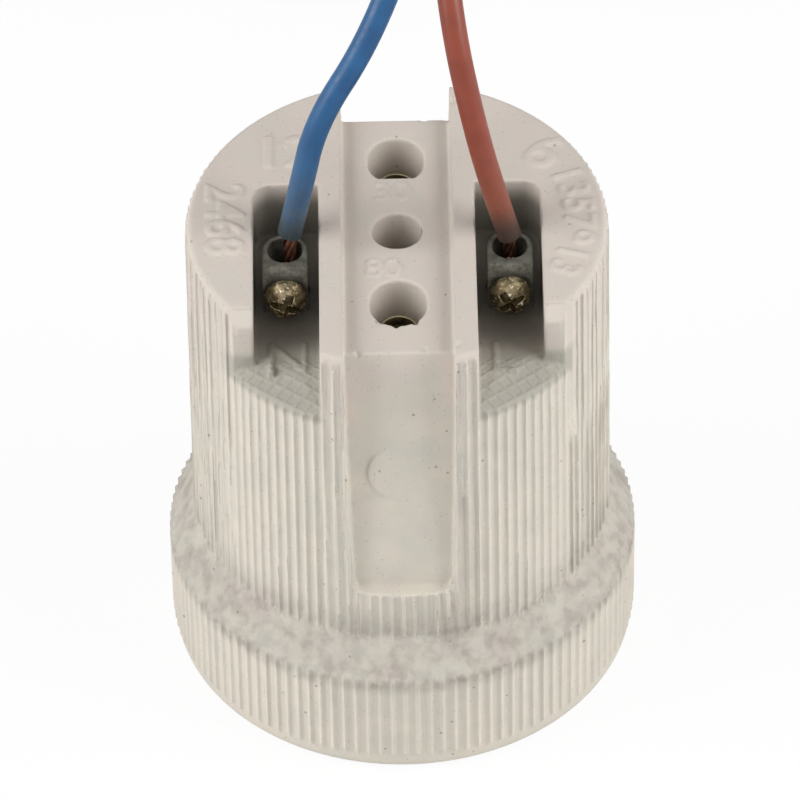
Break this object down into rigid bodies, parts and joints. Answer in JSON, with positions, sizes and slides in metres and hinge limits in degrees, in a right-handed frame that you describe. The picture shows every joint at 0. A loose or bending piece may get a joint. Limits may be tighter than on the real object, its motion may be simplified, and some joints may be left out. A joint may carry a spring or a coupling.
{
  "type": "lamp holder",
  "caption": "Round porcelain lamp holder with a threaded metal shell, sprung centre contact, rear terminals with clamp screws and two short insulated leads.",
  "frame": {"origin": "centre of the mouth rim, on the surface that the holder stands on", "axes": "+Z from the mouth towards the terminals, -Y towards the side that the clamp screws face, -X the neutral terminal"},
  "size_m": [0.047, 0.1197, 0.0993],
  "materials": {
    "porcelain": "unglazed fired porcelain, fine speckle",
    "plated_shell": "rolled nickel-plated sheet",
    "spring_bronze": "phosphor bronze strip",
    "eyelet_brass": "brass, slightly dull",
    "plated_terminal": "dull nickel plate",
    "screw_plate": "worn yellow-passivated zinc plate",
    "blue_insulation": "extruded silicone-coated insulation, satin",
    "red_brown_insulation": "extruded insulation, satin",
    "copper": "bare stranded copper"
  },
  "bodies": {
    "holder": {"ceramic_body": "porcelain", "screw_shell": "plated_shell", "centre_contact_strip": "spring_bronze", "centre_rivet": "eyelet_brass", "front_eyelet": "eyelet_brass", "rear_eyelet": "eyelet_brass", "neutral_terminal": "plated_terminal", "live_terminal": "plated_terminal", "neutral_lead": "blue_insulation", "live_lead": "red_brown_insulation", "neutral_lead_core": "copper", "live_lead_core": "copper", "neutral_lead_tip": "copper", "live_lead_tip": "copper"},
    "contact": {"contact_button": "eyelet_brass"},
    "neutral_screw": {"neutral_clamp_screw": "screw_plate"},
    "live_screw": {"live_clamp_screw": "screw_plate"}
  },
  "joints": [
    {"name": "neutral_screw_turn", "type": "hinge", "parent": "holder", "child": "neutral_screw", "pos_m": [-0.0109, -0.0061, 0.0493], "axis": [0, -1, 0], "range_deg": [0, 1080]},
    {"name": "live_screw_turn", "type": "hinge", "parent": "holder", "child": "live_screw", "pos_m": [0.0109, -0.0061, 0.0493], "axis": [0, -1, 0], "range_deg": [0, 1080]},
    {"name": "contact_press", "type": "slide", "parent": "holder", "child": "contact", "axis": [0, 0, 1], "range_m": [0, 0.0015], "stiffness_N_per_m": 2000, "deforming": ["centre_contact_strip"]}
  ]
}
